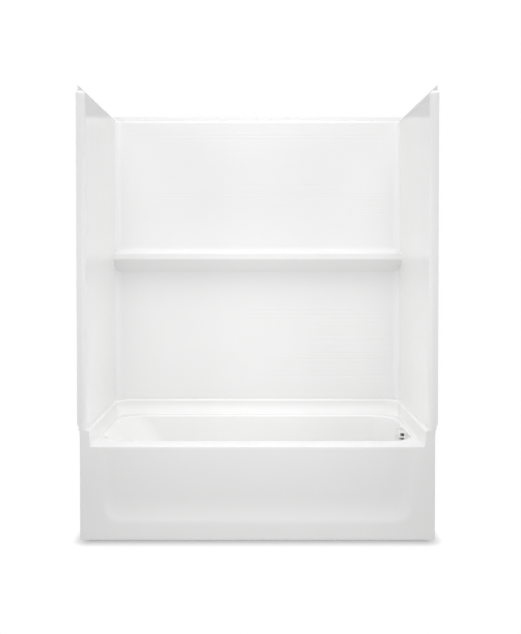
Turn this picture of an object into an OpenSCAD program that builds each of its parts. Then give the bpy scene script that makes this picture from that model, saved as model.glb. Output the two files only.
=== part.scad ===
// Alcove tub and shower: bathtub with apron, three wall panels, waste and overflow.
// +X is to the right, +Y to the back, +Z up. The origin is on the floor, under the middle.

/* [Alcove] */
// Width over the nailing flanges, from stud to stud
unit_w = 1530; // [1430:5:1700]
// Depth from the front of the apron to the wall studs
unit_d = 768; // [740:2:900]
// Height from the floor to the top of the nailing flange
unit_h = 1930; // [1700:5:2200]

/* [Bathtub] */
// Thickness of the bathtub's moulding
tub_skin = 5; // [4:0.5:7]
// How far each end of the apron stands inside the flange
side_set = 11; // [10:1:20]
// Height of the rim
rim_z = 400; // [370:5:480]
// Width of the front rim
front_rim = 92; // [75:1:110]
// Width of the deck behind the basin, up to the studs
rear_deck = 144; // [130:1:180]
// Width of the deck at each end of the basin
end_deck = 64; // [52:1:80]
// Radius of the rim's front edge
rim_r = 7; // [6:1:20]
// Height of the ledge over the rim
ledge_rise = 68; // [55:1:80]
// Radius of the cove between the rear deck and the ledge
rear_cove = 50; // [35:1:54]
// Width of the cove between the end decks and the ledge
side_cove = 8; // [6:1:12]
// Radius of the ledge's nose
ledge_nose = 10; // [5:1:15]
// Corner radius of the ledge in plan
ledge_r = 60; // [32:1:70]
// Depth of the ends of the apron, which turn back at the alcove's sides
return_d = 60; // [40:1:90]
// Height of the skirt under the ledge at the open ends
skirt_h = 31; // [20:1:40]
// Height of the tiling flange over the ledge
upstand = 24; // [15:1:30]
// Width of the moulded legs at the back
leg_w = 60; // [40:1:80]
// Depth of the moulded legs at the back
leg_d = 40; // [30:1:50]
// Distance of the two middle legs from the centre
leg_x = 250; // [150:5:350]

/* [Basin] */
// Height of the basin floor
floor_z = 100; // [95:1:130]
// Corner radius of the basin at the rim
basin_r = 130; // [90:5:150]
// Radius of the corners beside the backrest, at the foot of the walls
back_knee_r = 120; // [90:5:200]
// Radius of the corners at the drain end, at the foot of the walls
end_knee_r = 90; // [70:5:110]
// How far the backrest slopes in from the rim to the foot of the walls
backrest_run = 220; // [180:5:280]
// How far the drain end slopes in
end_run = 30; // [20:1:50]
// How far the long sides slope in
side_run = 35; // [20:1:50]
// Height of the curve between the walls and the floor
floor_curve = 40; // [25:1:45]
// Radius of the rim's round edge at the basin's front and back
mouth_r = 8; // [8:1:16]
// Width of the rim's round edge at the basin's ends
mouth_end = 8; // [4:1:12]

/* [Apron panel] */
// Distance of the recessed panel from the ends of the apron
panel_end = 95; // [70:5:160]
// Height of the base band below the panel
panel_foot = 66; // [60:1:120]
// Height of the panel's sill, which curves in from the base band
panel_ramp = 112; // [40:1:120]
// Width of the curves at the panel's ends
panel_side = 40; // [20:1:60]
// Depth of the panel at its sill
panel_depth = 13; // [8:1:20]
// Distance of the panel's upper edge below the rim
panel_head = 18; // [16:1:40]
// Corner radius of the panel
panel_r = 75; // [50:1:90]

/* [Walls] */
// Thickness of the wall mouldings
wall_skin = 4; // [3:0.5:6]
// Distance of the end walls' faces from the studs
end_gap = 37; // [36:1:60]
// Distance of the back wall's face from the studs
back_gap = 56; // [50:1:70]
// How far the back ledge shows in front of the back wall
back_ledge = 18; // [10:1:30]
// How far the side ledges show in front of the end walls
side_ledge = 14; // [4:1:16]
// Corner radius between the back wall and the end walls
corner_r = 30; // [25:1:60]
// Radius of the walls' front and top edges
edge_r = 18; // [10:1:24]
// Height of the nailing flange over the walls' top edge
flange_rise = 24; // [18:1:45]
// How far the nailing flange starts behind the front
flange_set = 27; // [20:1:60]
// Length of the back wall's two returns, in front of its face
wall_return = 92; // [80:1:160]
// Width of the front flange strip on the studs
strip_w = 45; // [38:1:70]
// How far the foot of each column is cut in, so that it meets the bathtub
foot_cut = 11; // [4:1:12]
// Thickness of the seals under the walls
seal_t = 3; // [2:0.5:5]
// Width of the seals
seal_w = 12; // [8:1:16]
// Depth of the stiffening ribs behind the back wall
rib_d = 12; // [6:1:20]
// Distance between the ribs
rib_pitch = 180; // [150:10:190]
// Distance between the nailing holes
nail_pitch = 406.4; // [300:0.1:450]
// Radius of the nailing holes
nail_r = 2.5; // [2:0.1:4]

/* [Shelf] */
// Height of the shelf's top
shelf_z = 1226; // [1100:2:1400]
// How far the shelf stands out from the back wall
shelf_d = 75; // [50:1:84]
// Height of the shelf's front
shelf_h = 43; // [25:1:60]
// Height of the sloping underside
shelf_drop = 60; // [30:1:90]
// Radius of the shelf's nose
nose_r = 11; // [4:1:12]
// Radius of the curve behind the shelf's top
shelf_cove = 30; // [15:1:40]

/* [Accent lines] */
// Distance between the fine lines in the two closest groups on the back wall
line_pitch = 20; // [14:1:30]
// Width of a line
line_w = 6; // [3:0.5:8]
// Depth of a line
line_depth = 0.5; // [0.3:0.1:1.5]

/* [Joint clips] */
// Number of clips in each corner joint
clip_count = 4; // [2:1:6]
// Length of a clip
clip_l = 60; // [30:5:100]
// Thickness of a clip
clip_t = 3; // [2:0.5:5]
// Width of the joint lips that the clips hold
lip_w = 18; // [12:1:26]

/* [Waste] */
// Distance of the drain from the basin's drain end at the rim
drain_back = 130; // [110:5:200]
// Radius of the drain flange
drain_r = 35; // [33:1:40]
// Radius of the drain barrel
barrel_r = 23; // [22:0.5:25]
// Radius of the drain's bore
drain_bore = 19; // [17:0.5:20]
// Depth of the dish in the basin floor round the drain
dish_d = 3; // [2:1:6]
// Outer radius of the waste and overflow tubes, 1-1/2 inch
tube_r = 19.05; // [15.9:0.05:20]
// Wall of the tubes
tube_wall = 1.6; // [1:0.1:2.5]
// Wall of the sockets over the tubes
socket_wall = 4.8; // [3:0.1:6]
// Depth of the sockets
socket_l = 20; // [15:1:26]
// Distance of the overflow tube's axis from the studs
tube_set = 38; // [32:1:45]
// Height of the waste tube's axis
waste_z = 56; // [54:1:60]
// Thickness of the rubber gaskets
gasket_t = 3; // [2:0.5:5]
// Radial gap of every sliding fit
fit = 0.05; // [0.03:0.01:0.09]

/* [Overflow] */
// Distance of the overflow's centre below the rim
over_drop = 45; // [43:1:70]
// Radius of the overflow cover
cover_r = 40; // [34:1:42]
// Depth of the overflow cover
cover_d = 27; // [18:1:30]
// Thickness of the cover's metal
cover_t = 2; // [1.5:0.1:3]
// Distance between the cover's slots
slot_pitch = 17; // [15:0.5:20]
// Height of a slot
slot_h = 12; // [6:0.5:13]
// Radius of the overflow screws
screw_r = 1.9; // [1.5:0.1:2.2]
// Distance of each screw from the cover's middle
screw_y = 22; // [21.5:0.1:22.5]

/* [Stopper] */
// Radius of the stopper's post
post_r = 4.5; // [4:0.1:5]
// Radius of the stopper's sleeve
sleeve_r = 8; // [7:0.5:10]
// Radius of the cap
cap_r = 29; // [27:0.5:31]
// Radius of the knob
knob_r = 9; // [7:0.5:11]
// Height of the knob
knob_h = 14; // [10:1:20]

/* [Foam bed] */
// Distance of the bed from the edges of the basin floor
bed_inset = 15; // [10:1:40]
// Free space between the bed and the drain
bed_drain = 90; // [70:5:140]

/* [Hidden] */

round_fn = 64;
corner_n = 12;
curve_n = 6;
over = 1;

front = -unit_d / 2;
back = unit_d / 2;
half_w = unit_w / 2;
apron_half = half_w - side_set;
wall_half = half_w - end_gap;
wall_back = back - back_gap;
seat_z = rim_z + ledge_rise;
nose_half = wall_half - side_ledge;
nose_back = wall_back - back_ledge;
wall_z = seat_z + seal_t;
flange_z = seat_z + upstand;
fin_z = unit_h - flange_rise;
seam_y = wall_back - wall_return;

basin_half = apron_half - end_deck;
basin_y0 = front + front_rim;
basin_y1 = back - rear_deck;
basin_mid = (basin_y0 + basin_y1) / 2;
knee_z = floor_z + floor_curve;
drain_x = basin_half - drain_back;
dish_z = floor_z - dish_d;
dish_r = drain_r + 7;
end_angle = atan(end_run / (rim_z - knee_z));
over_z = rim_z - over_drop;
over_x = basin_half - over_drop * tan(end_angle);
stack_x = half_w - tube_set;
elbow_z = over_z - (stack_x - over_x) * tan(end_angle);
over_reach = (stack_x - over_x) / cos(end_angle);
over_hole = 27;
socket_r = tube_r + socket_wall;
bore_r = tube_r - tube_wall;
head_r = over_hole + 8;
barrel_l = 24;
barrel_z = dish_z - barrel_l;
shoe_top = dish_z - tub_skin - gasket_t;
shoe_x = drain_x + barrel_r + 35;
branch_x = stack_x - socket_r - 18;
tee_top = waste_z + socket_r + socket_l;
tee_foot = waste_z - socket_r - socket_l - 2;
elbow_foot = elbow_z - socket_r - socket_l;
nut_r = socket_r + 5;
nut_lip = 7;
washer_l = 4;

// Points of an arc, from angle a0 to a1
function arc(c, r, a0, a1, n = 10) = [
    for (i = [0:n]) let (a = a0 + (a1 - a0) * i / n) c + r * [cos(a), sin(a)]
];

// Rounded rectangle at height z. Its corner radii are given from the far right one, counterclockwise.
function ring(x0, x1, y0, y1, r, z) = [
    for (i = [0:3], j = [0:corner_n]) let (
        a = 90 * (i + j / corner_n),
        x = i == 0 || i == 3 ? x1 - r[i] : x0 + r[i],
        y = i < 2 ? y1 - r[i] : y0 + r[i]
    ) [x + r[i] * cos(a), y + r[i] * sin(a), z]
];

// Solid through rings that have as many points each, from the lowest to the highest
module loft(rings) {
    n = len(rings[0]);
    top = n * (len(rings) - 1);
    sides = [
        for (j = [0:len(rings) - 2], i = [0:n - 1])
            let (a = j * n + i, b = j * n + (i + 1) % n)
            each [[a, a + n, b + n], [a, b + n, b]]
    ];
    polyhedron(
        points = [for (r = rings) each r],
        faces = concat([[for (i = [0:n - 1]) i]], sides, [[for (i = [n - 1:-1:0]) top + i]])
    );
}

module box(low, high) {
    translate(low) cube(high - low);
}

// Ring of the basin at height z: t is 0 at the foot of its walls and 1 at the rim. The last four
// values move its left, right, and front and rear sides out, and add to its corner radii.
function basin_ring(t, z, out_left, out_right, out_side, out_r) = let (
    left_r = back_knee_r + (basin_r - back_knee_r) * t + out_r,
    right_r = end_knee_r + (basin_r - end_knee_r) * t + out_r
) ring(
    -basin_half + backrest_run * (1 - t) - out_left, basin_half - end_run * (1 - t) + out_right,
    basin_y0 + side_run * (1 - t) - out_side, basin_y1 - side_run * (1 - t) + out_side,
    [right_r, left_r, left_r, right_r], z);

// How far the curve between a wall that slopes in by run and the floor lies inside the wall's foot
function bend(u, run, skin) = let (slope = run / (rim_z - knee_z))
    (1 - u) ^ 2 * floor_curve * (slope + sqrt(1 + slope ^ 2))
    + 2 * u * (1 - u) * (slope * (floor_curve + skin) - skin) - u ^ 2 * skin;

// Space of the basin, or with a skin its outer side
module basin_form(skin) {
    mouth_z = rim_z - mouth_r;
    function up(z) = (z - knee_z) / (rim_z - knee_z);
    function floor_ring(u) = let (
        z = knee_z - (floor_curve + skin) * (1 - u ^ 2),
        side = bend(u, side_run, skin)
    ) basin_ring(0, z, -bend(u, backrest_run, skin), -bend(u, end_run, skin), -side, -side);
    function mouth_ring(b) = let (
        z = mouth_z + (mouth_r - skin) * sin(b),
        share = 1 - cos(b),
        end = skin + (mouth_end - skin) * share,
        side = skin + (mouth_r - skin) * share
    ) basin_ring(up(z), z, end, end, side, side);
    last = basin_ring(up(rim_z - skin), rim_z - skin + over, mouth_end, mouth_end, mouth_r, mouth_r);
    loft(concat(
        [for (i = [0:curve_n]) floor_ring(i / curve_n)],
        [for (i = [0:curve_n]) mouth_ring(90 * i / curve_n)],
        [last]
    ));
    translate([drain_x, basin_mid, dish_z - skin])
        cylinder(r = dish_r + skin, h = dish_d + over, $fn = round_fn);
}

// Space over the deck: its lower edges are the coves, its upper ones the ledge's nose, and its front is open
module deck_form() {
    function deck_ring(in_x, in_y, z) = ring(
        -nose_half + in_x, nose_half - in_x, front - 2 * ledge_r, nose_back - in_y,
        [for (i = [0:3]) ledge_r], z);
    function cove_ring(a) = let (share = 1 - sin(a))
        deck_ring(side_cove * share, rear_cove * share, rim_z + rear_cove * (1 - cos(a)));
    function nose_ring(b) = let (share = 1 - cos(b))
        deck_ring(-side_ledge * share, -ledge_nose * share, seat_z - ledge_nose * (1 - sin(b)));
    loft(concat(
        [for (i = [0:curve_n]) cove_ring(90 * i / curve_n)],
        [for (i = [0:curve_n]) nose_ring(90 * i / curve_n)],
        [deck_ring(-side_ledge, -ledge_nose, seat_z + over)]
    ));
}

// Underside of the deck and of the wall round it, up to the ledge
module deck_under() {
    half = nose_half + tub_skin;
    y1 = nose_back + tub_skin;
    r = ledge_r + tub_skin;
    translate([0, 0, rim_z - tub_skin]) linear_extrude(ledge_rise + over) {
        translate([-half, front]) square([2 * half, y1 - front - r]);
        translate([-half + r, front]) square([2 * (half - r), y1 - front]);
        for (s = [-1, 1]) translate([s * (half - r), y1 - r]) circle(r = r, $fn = round_fn);
    }
}

// Recess of the apron, or with a skin the raised panel behind it. It is drawn lying down, so that
// its second axis is the height and its third one points to the front.
module panel_form(skin) {
    half = apron_half - panel_end;
    head_z = rim_z - panel_head;
    sill_z = panel_foot + panel_ramp;
    upper_r = 20;
    lip = 0.5;
    turn = 0.18;
    function soft(t) = t < turn ? t ^ 2 / turn : 1 - (1 - t) ^ 2 / (1 - turn);
    function depth(z) = lip + (panel_depth - lip) * max(0, (head_z - z) / (head_z - sill_z));
    // Ring of the panel's edge: t is 0 at the front and 1 at the foot of its curve
    function edge(t) = ring(
        -half + panel_side * t - skin, half - panel_side * t + skin,
        panel_foot + panel_ramp * t - skin, head_z - lip * t + skin,
        [upper_r, upper_r, panel_r - upper_r * t + skin, panel_r - upper_r * t + skin], 0);
    rotate([90, 0, 0]) loft(concat(
        [for (i = [curve_n:-1:0]) let (t = i / curve_n)
            [for (p = edge(t)) [p[0], p[1], -front - skin - depth(p[1]) * soft(t)]]],
        [[for (p = edge(0)) [p[0], p[1], -front + over]]]
    ));
}

// What is cut from a square edge along X at (y, z) to leave it round
module edge_cut(y, z, r, half) {
    translate([-half, y, z]) difference() {
        translate([0, -over, -r]) cube([2 * half, r + over, r + over]);
        translate([-over, r, -r]) rotate([0, 90, 0])
            cylinder(r = r, h = 2 * half + 2 * over, $fn = round_fn);
    }
}

// Hollow under the bathtub, open below, at the back and at the ends
module under_form() {
    difference() {
        union() {
            box([-apron_half + tub_skin, front + tub_skin, -over],
                [apron_half - tub_skin, back + over, seat_z - tub_skin]);
            box([-apron_half - over, front + return_d, -over],
                [apron_half + over, back + over, seat_z - skirt_h]);
        }
        basin_form(tub_skin);
        deck_under();
        panel_form(tub_skin);
        edge_cut(front + tub_skin, rim_z - tub_skin, rim_r - tub_skin, apron_half);
    }
}

// Frame at the overflow: its +Z axis points through the basin's end wall, to the outside
module at_overflow() {
    translate([over_x, basin_mid, over_z]) rotate([0, 90 + end_angle, 0]) children();
}

module at_drain(z = 0) {
    translate([drain_x, basin_mid, z]) children();
}

module tub_flange() {
    for (s = [0, 1]) mirror([s, 0, 0]) {
        box([apron_half - tub_skin, front + strip_w, seat_z - skirt_h],
            [half_w, back, seat_z - skirt_h + tub_skin]);
        box([half_w - tub_skin, front + strip_w, seat_z - skirt_h], [half_w, back, flange_z]);
    }
    box([-half_w, back - tub_skin, seat_z - skirt_h], [half_w, back, flange_z]);
}

module tub_legs() {
    leg_end = apron_half - leg_w / 2;
    for (x = [-leg_end, -leg_x, leg_x, leg_end]) {
        translate([x, back, 0]) difference() {
            box([-leg_w / 2, -leg_d, 0], [leg_w / 2, 0, seat_z - tub_skin]);
            box([-leg_w / 2 + tub_skin, -leg_d + tub_skin, -over], [leg_w / 2 - tub_skin, over, seat_z]);
        }
    }
}

module bathtub() {
    color("white") {
        difference() {
            box([-apron_half, front, 0], [apron_half, back, seat_z]);
            basin_form(0);
            deck_form();
            edge_cut(front, rim_z, rim_r, nose_half - side_cove);
            panel_form(0);
            under_form();
            at_drain() cylinder(r = barrel_r + 1, h = rim_z, $fn = round_fn);
            at_overflow() cylinder(r = over_hole, h = 6 * tub_skin, center = true, $fn = round_fn);
        }
        tub_flange();
        tub_legs();
    }
}

module foam_bed() {
    x0 = -basin_half + backrest_run + bend(0, backrest_run, 0) + bed_inset;
    y0 = basin_y0 + side_run + bend(0, side_run, 0) + bed_inset;
    y1 = basin_y1 - side_run - bend(0, side_run, 0) - bed_inset;
    color("gainsboro") box([x0, y0, 0], [drain_x - bed_drain, y1, floor_z - tub_skin]);
}

// Plan of the room between the walls, grown by g
module room_plan(g) {
    r = corner_r + g;
    y1 = wall_back + g;
    half = wall_half + g;
    y0 = seam_y - 2 * over;
    union() {
        translate([-half, y0]) square([2 * half, y1 - r - y0]);
        translate([-half + r, y0]) square([2 * (half - r), y1 - y0]);
        for (s = [-1, 1]) translate([s * (half - r), y1 - r]) circle(r = r, $fn = round_fn);
    }
}

// What is cut round the room's top edge to leave it round, for the face grown by g
module top_cut(g) {
    r = edge_r - g;
    z = fin_z - g;
    corner = corner_r + g;
    module section() difference() {
        square([r, r + over]);
        translate([r, 0]) circle(r = r, $fn = round_fn);
    }
    translate([-wall_half + corner_r, wall_back + g, z - r]) rotate([90, 0, 90])
        linear_extrude(2 * (wall_half - corner_r)) section();
    for (s = [0, 1]) mirror([s, 0, 0]) {
        translate([wall_half + g, wall_back - corner_r, z - r]) rotate([90, 0, 0])
            linear_extrude(wall_back - corner_r - seam_y + 2 * over) section();
        translate([wall_half - corner_r, wall_back - corner_r, z - r])
            rotate_extrude(angle = 90, $fn = round_fn) translate([corner, 0]) section();
    }
}

// Solid behind the back wall's face, grown by g
module back_form(g) {
    out = g == 0 ? 0 : over;
    difference() {
        box([-half_w - out, seam_y - out, wall_z - out], [half_w + out, back + out, fin_z - g]);
        translate([0, 0, wall_z - 2 * over]) linear_extrude(fin_z - wall_z + 3 * over) room_plan(g);
        top_cut(g);
    }
}

// Section of the shelf in Y and Z, as a skin of thickness g set into it. Its underside slopes
// from the nose back to the wall.
function shelf_section(g) = let (
    slope = atan(shelf_drop / shelf_d),
    nose_y = wall_back - shelf_d + nose_r,
    foot_z = shelf_z - shelf_h - shelf_drop,
    mid = wall_skin / 2,
    past = wall_skin + over
) concat(
    g == 0
        ? [[wall_back + mid, shelf_z + shelf_cove]]
        : [[wall_back + past, shelf_z - g]],
    g == 0 ? arc([wall_back - shelf_cove, shelf_z + shelf_cove], shelf_cove, 0, -90) : [],
    arc([nose_y, shelf_z - nose_r], nose_r - g, 90, 180),
    arc([nose_y, shelf_z - shelf_h + nose_r], nose_r - g, 180, 270 - slope),
    g == 0
        ? [[wall_back + mid, foot_z]]
        : [[wall_back + past, foot_z + g / cos(slope) - (past - mid) * tan(slope)]]
);

module shelf_form(g) {
    half = wall_half + (g == 0 ? wall_skin / 2 : -g);
    translate([-half, 0, 0]) rotate([90, 0, 90])
        linear_extrude(2 * half) polygon(shelf_section(g));
}

// Each group of accent lines: the height of its upper line as a share of the unit's height, how
// many lines it has, their distance, and its ends as shares of half the wall's flat
line_groups = [
    [0.9726, 1, line_pitch, -0.97, 0.94], [0.9563, 3, line_pitch, -0.97, 0.94],
    [0.8138, 1, line_pitch, -0.12, 0.58],
    [0.7907, 3, 0.9 * line_pitch, -0.82, 1], [0.756, 3, 0.75 * line_pitch, -0.82, 1],
    [0.4793, 5, line_pitch, -0.12, 0.93], [0.4135, 4, 1.5 * line_pitch, 0.39, 1],
    [0.3508, 5, 1.1 * line_pitch, 0.05, 0.97]
];

// Shallow grooves with sloping sides, which catch light below and shade above
module accent_lines() {
    half = wall_half - corner_r;
    for (group = line_groups, i = [0:group[1] - 1]) {
        translate([group[3] * half, 0, group[0] * unit_h - i * group[2]]) rotate([90, 0, 90])
            linear_extrude((group[4] - group[3]) * half) polygon([
                [wall_back - over, 0], [wall_back, 0], [wall_back + line_depth, -line_w / 2],
                [wall_back, -line_w], [wall_back - over, -line_w]
            ]);
    }
}

// Stiffening ribs behind the back wall, in two rows that leave the hollow shelf free
module back_ribs() {
    count = floor((wall_half - corner_r) / rib_pitch);
    low_top = shelf_z - shelf_h - shelf_drop - rib_d;
    high_foot = shelf_z + shelf_cove + rib_d;
    half = wall_skin / 2;
    y0 = wall_back + half;
    y1 = wall_back + wall_skin + rib_d;
    for (i = [-count:count], span = [[wall_z, low_top], [high_foot, fin_z - edge_r]]) {
        translate([i * rib_pitch, 0, 0]) box([-half, y0, span[0]], [half, y1, span[1]]);
    }
}

// Lip of a corner joint, on the right, from y0 to y1
module joint_lip(y0, y1) {
    box([wall_half + wall_skin / 2, y0, wall_z],
        [wall_half + wall_skin + lip_w, y1, fin_z - wall_skin]);
}

// Nailing holes through a flange in the X and Z plane
module nail_holes(count) {
    for (i = [0:count - 1]) {
        translate([(i - (count - 1) / 2) * nail_pitch, 0, unit_h - flange_rise / 2])
            rotate([90, 0, 0]) cylinder(r = nail_r, h = 4 * wall_skin, center = true, $fn = 24);
    }
}

module back_wall() {
    color("white") difference() {
        union() {
            difference() {
                back_form(0);
                back_form(wall_skin);
            }
            shelf_form(0);
            box([-half_w, back - wall_skin, fin_z - wall_skin], [half_w, back, unit_h]);
            for (s = [0, 1]) mirror([s, 0, 0]) {
                box([half_w - wall_skin, seam_y, fin_z - wall_skin], [half_w, back, unit_h]);
                joint_lip(seam_y, seam_y + wall_skin);
            }
            back_ribs();
        }
        shelf_form(wall_skin);
        accent_lines();
        translate([0, back, 0]) nail_holes(4);
    }
}

// Block whose inner, front and top edges are round, grown inward by g
module end_block(g) {
    r = edge_r - g;
    x0 = wall_half + g;
    y0 = front + g;
    z1 = fin_z - g;
    out = g == 0 ? 0 : over;
    x1 = half_w + out;
    y1 = seam_y + out;
    z0 = wall_z - out;
    box([x0 + r, y0, z0], [x1, y1, z1 - r]);
    box([x0, y0 + r, z0], [x1, y1, z1 - r]);
    box([x0 + r, y0 + r, z0], [x1, y1, z1]);
    translate([x0 + r, y0 + r, z0]) cylinder(r = r, h = z1 - r - z0, $fn = round_fn);
    translate([x0 + r, y1, z1 - r]) rotate([90, 0, 0])
        cylinder(r = r, h = y1 - y0 - r, $fn = round_fn);
    translate([x0 + r, y0 + r, z1 - r]) rotate([0, 90, 0])
        cylinder(r = r, h = x1 - x0 - r, $fn = round_fn);
    translate([x0 + r, y0 + r, z1 - r]) sphere(r = r, $fn = round_fn);
}

// The right end wall. The foot of its column is cut slanted, clear of the bathtub's flange.
module end_wall() {
    foot_clear = 4;
    foot_h = flange_z + foot_clear - wall_z;
    difference() {
        union() {
            difference() {
                end_block(0);
                end_block(wall_skin);
            }
            box([half_w - wall_skin, front + edge_r, wall_z],
                [half_w, front + strip_w - over, fin_z - wall_skin / 2]);
            box([half_w - wall_skin, front + flange_set, fin_z - wall_skin],
                [half_w, seam_y, unit_h]);
            joint_lip(seam_y - wall_skin, seam_y);
        }
        translate([half_w - foot_cut, front - over, wall_z - over]) rotate([-90, 0, 0])
            linear_extrude(2 * strip_w) polygon([
                [0, 0], [foot_cut + over, 0], [foot_cut + over, -foot_h], [foot_cut, -foot_h]
            ]);
        translate([half_w, (front + seam_y) / 2, 0]) rotate([0, 0, 90]) nail_holes(2);
    }
}

module right_end_wall() {
    color("white") end_wall();
}

module left_end_wall() {
    color("white") mirror([1, 0, 0]) end_wall();
}

module back_seal() {
    color("whitesmoke") translate([0, 0, seat_z]) linear_extrude(seal_t) intersection() {
        difference() {
            room_plan(seal_w);
            translate([0, -over]) room_plan(0);
            room_plan(0);
        }
        translate([-half_w, seam_y]) square([unit_w, unit_d]);
    }
}

module end_seal() {
    translate([0, 0, seat_z]) linear_extrude(seal_t) difference() {
        union() {
            translate([wall_half, front + edge_r]) square([seal_w, seam_y - front - edge_r]);
            translate([wall_half + edge_r, front])
                square([apron_half - wall_half - edge_r, seal_w]);
            translate([wall_half + edge_r, front + edge_r]) circle(r = edge_r, $fn = round_fn);
        }
        translate([wall_half + seal_w, front + seal_w]) square(unit_w);
    }
}

module right_seal() {
    color("whitesmoke") end_seal();
}

module left_seal() {
    color("whitesmoke") mirror([1, 0, 0]) end_seal();
}

// Channels that hold the two lips of a corner joint together
module corner_clips() {
    clear = 4;
    x0 = wall_half + wall_skin + clear;
    x1 = wall_half + wall_skin + lip_w;
    run = fin_z - wall_z - 4 * clip_l;
    for (i = [0:clip_count - 1]) {
        translate([0, seam_y, wall_z + 2 * clip_l + i * run / (clip_count - 1)]) difference() {
            box([x0, -wall_skin - clip_t, -clip_l / 2],
                [x1 + clip_t, wall_skin + clip_t, clip_l / 2]);
            box([x0 - over, -wall_skin, -clip_l], [x1, wall_skin, clip_l]);
        }
    }
}

module right_corner_clips() {
    color("silver") corner_clips();
}

module left_corner_clips() {
    color("silver") mirror([1, 0, 0]) corner_clips();
}

// The overflow's pieces are drawn with +Z to the outside, so the basin is at negative Z
module overflow_cover() {
    base_h = 3;
    crown = 5;
    taper = 3;
    boss_r = screw_r + 3;
    module shell(g) {
        out = g == 0 ? 0 : over;
        rotate_extrude($fn = round_fn) polygon(concat(
            [[0, out], [cover_r - g, out], [cover_r - g, -base_h]],
            arc([cover_r - taper - crown, -cover_d + crown], crown - g, 0, -90),
            [[0, -cover_d + g]]
        ));
    }
    color("silver") at_overflow() difference() {
        union() {
            difference() {
                shell(0);
                shell(cover_t);
            }
            for (s = [-1, 1]) translate([0, s * screw_y, -cover_d + cover_t / 2])
                cylinder(r = boss_r, h = cover_d - cover_t / 2, $fn = 32);
        }
        for (s = [-1, 1]) translate([0, s * screw_y, -cover_d - over])
            cylinder(r = screw_r + fit, h = cover_d + 2 * over, $fn = 32);
        difference() {
            for (i = [-1:1]) translate([i * slot_pitch - slot_h / 2, -cover_r - over, -cover_d + crown])
                cube([slot_h, 2 * cover_r + 2 * over, cover_d - crown - base_h]);
            translate([0, 0, -cover_d - over])
                cylinder(r = cover_r - taper - 2 * cover_t, h = cover_d + 2 * over, $fn = round_fn);
        }
    }
}

module overflow_screws() {
    reach = tub_skin + gasket_t + 12;
    head_h = 2;
    slot_w = 1;
    color("silver") at_overflow() for (s = [-1, 1]) translate([0, s * screw_y, -cover_d]) {
        cylinder(r = screw_r, h = cover_d + reach, $fn = 32);
        difference() {
            translate([0, 0, -head_h])
                cylinder(r1 = screw_r + 1.4, r2 = screw_r + 2.2, h = head_h, $fn = 32);
            translate([-3 * screw_r, -slot_w / 2, -head_h - over])
                cube([6 * screw_r, slot_w, head_h / 2 + over]);
        }
    }
}

module overflow_gasket() {
    color("dimgray") at_overflow() translate([0, 0, tub_skin * cos(end_angle)]) difference() {
        cylinder(r = head_r, h = gasket_t, $fn = round_fn);
        translate([0, 0, -over]) cylinder(r = over_hole, h = gasket_t + 2 * over, $fn = round_fn);
    }
}

module overflow_elbow() {
    s0 = tub_skin * cos(end_angle) + gasket_t;
    plate_t = 6;
    screw_hole = 14;
    body_r = over_hole - 3;
    top = elbow_z + body_r + 3;
    color("ivory") difference() {
        union() {
            at_overflow() {
                translate([0, 0, s0]) cylinder(r = head_r, h = plate_t, $fn = round_fn);
                translate([0, 0, s0]) cylinder(r = body_r, h = over_reach - s0, $fn = round_fn);
            }
            translate([stack_x, basin_mid, elbow_foot])
                cylinder(r = body_r + 2, h = top - elbow_foot, $fn = round_fn);
        }
        at_overflow() translate([0, 0, s0 - over])
            cylinder(r = bore_r, h = over_reach - s0 + over, $fn = round_fn);
        translate([stack_x, basin_mid, elbow_foot - over]) {
            cylinder(r = bore_r + 1, h = elbow_z + bore_r + 2 - elbow_foot, $fn = round_fn);
            cylinder(r = tube_r + fit, h = socket_l + over, $fn = round_fn);
        }
        translate([stack_x, basin_mid, elbow_foot - over]) difference() {
            cylinder(r = body_r + 3, h = socket_l + over, $fn = round_fn);
            translate([0, 0, -over]) cylinder(r = socket_r, h = socket_l + 3 * over, $fn = round_fn);
        }
        at_overflow() for (s = [-1, 1]) translate([0, s * screw_y, s0 - over])
            cylinder(r = screw_r + fit, h = screw_hole, $fn = 32);
    }
}

module overflow_tube() {
    z0 = tee_top - socket_l;
    z1 = elbow_foot + socket_l;
    color("ivory") translate([stack_x, basin_mid, z0]) difference() {
        cylinder(r = tube_r, h = z1 - z0, $fn = round_fn);
        translate([0, 0, -over]) cylinder(r = bore_r, h = z1 - z0 + 2 * over, $fn = round_fn);
    }
}

// Heights and radii of the drain flange and of the stopper that stands on it, closed
flange_h = 4;
flange_top = dish_z + flange_h;
drain_seat = flange_top + fit;
stop_seal_t = 2;
seal_r = drain_bore + 6;
cap_z = drain_seat + stop_seal_t;
cap_h = 6.5;
cap_top = cap_z + cap_h;
bar_h = 4;
boss_z = barrel_z + 2;
boss_h = 10;
boss_r = 6;
stud_r = 3;
post_gap = 0.5;

module drain_flange() {
    lip = 2;
    bar = drain_bore + 1;
    color("silver") at_drain() {
        rotate_extrude($fn = round_fn) polygon([
            [barrel_r, dish_z], [drain_r, dish_z], [drain_r, dish_z + lip],
            [drain_r - 2 * lip, flange_top], [drain_bore + lip, flange_top],
            [drain_bore, flange_top - lip], [drain_bore, barrel_z], [barrel_r, barrel_z]
        ]);
        difference() {
            union() {
                for (a = [0, 90]) rotate([0, 0, a])
                    box([-bar, -bar_h / 2, boss_z + lip], [bar, bar_h / 2, boss_z + lip + bar_h]);
                translate([0, 0, boss_z]) cylinder(r = boss_r, h = boss_h, $fn = 32);
            }
            translate([0, 0, boss_z - over])
                cylinder(r = stud_r + fit, h = boss_h + 2 * over, $fn = 32);
        }
    }
}

module drain_gasket() {
    color("dimgray") at_drain(shoe_top) difference() {
        cylinder(r = drain_r - 2, h = gasket_t, $fn = round_fn);
        translate([0, 0, -over]) cylinder(r = barrel_r + 0.5, h = gasket_t + 2 * over, $fn = round_fn);
    }
}

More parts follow.
